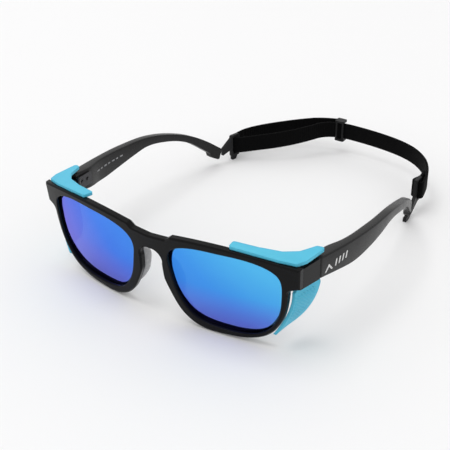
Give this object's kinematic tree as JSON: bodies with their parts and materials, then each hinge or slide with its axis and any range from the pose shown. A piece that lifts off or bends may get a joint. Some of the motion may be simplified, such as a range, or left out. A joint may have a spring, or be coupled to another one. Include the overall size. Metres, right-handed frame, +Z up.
{
  "type": "glacier glasses",
  "caption": "Wraparound mountaineering sunglasses with mirrored lenses, soft side shields, folding temples and an adjustable webbing retainer strap.",
  "frame": {"origin": "middle of the glasses' footprint without the strap, on the surface they stand on", "axes": "+X to the wearer's left, +Y from the front to the temple tips, +Z up"},
  "size_m": [0.1542, 0.201, 0.0496],
  "materials": {
    "frame": "satin",
    "temple": "satin",
    "nose_pad": "satin",
    "lens": "blue mirror coating",
    "shield": "matte",
    "hinge": "satin",
    "rivet": "satin",
    "screw": "satin",
    "webbing": "woven",
    "strap_plastic": "satin"
  },
  "bodies": {
    "front": {"front_frame": "frame", "lens_left": "lens", "lens_right": "lens", "nose_pad_left": "nose_pad", "nose_pad_right": "nose_pad", "side_shield_left": "shield", "side_shield_right": "shield", "front_hinge_leaf_left": "hinge", "front_hinge_leaf_right": "hinge", "front_leaf_rivets": "rivet", "hinge_screw_left": "screw", "hinge_screw_right": "screw"},
    "left_temple": {"temple_left": "temple", "temple_hinge_leaf_left": "hinge", "temple_leaf_rivets_left": "rivet"},
    "right_temple": {"temple_right": "temple", "temple_hinge_leaf_right": "hinge", "temple_leaf_rivets_right": "rivet"},
    "strap": {"strap_webbing": "webbing", "strap_link_left": "strap_plastic", "strap_link_right": "strap_plastic"},
    "slider": {"strap_slider": "strap_plastic"}
  },
  "joints": [
    {"name": "left_temple_fold", "type": "hinge", "parent": "front", "child": "left_temple", "pos_m": [0.0664, -0.0447, 0.037], "axis": [0, 0, 1], "range_deg": [0, 87]},
    {"name": "right_temple_fold", "type": "hinge", "parent": "front", "child": "right_temple", "pos_m": [-0.0664, -0.0447, 0.037], "axis": [0, 0, -1], "range_deg": [0, 80]},
    {"name": "strap_release", "type": "slide", "parent": "front", "child": "strap", "axis": [0, 1, 0], "range_m": [0, 0.03]},
    {"name": "strap_slider_slide", "type": "slide", "parent": "strap", "child": "slider", "axis": [1, 0, 0], "range_m": [0, 0.008]}
  ]
}
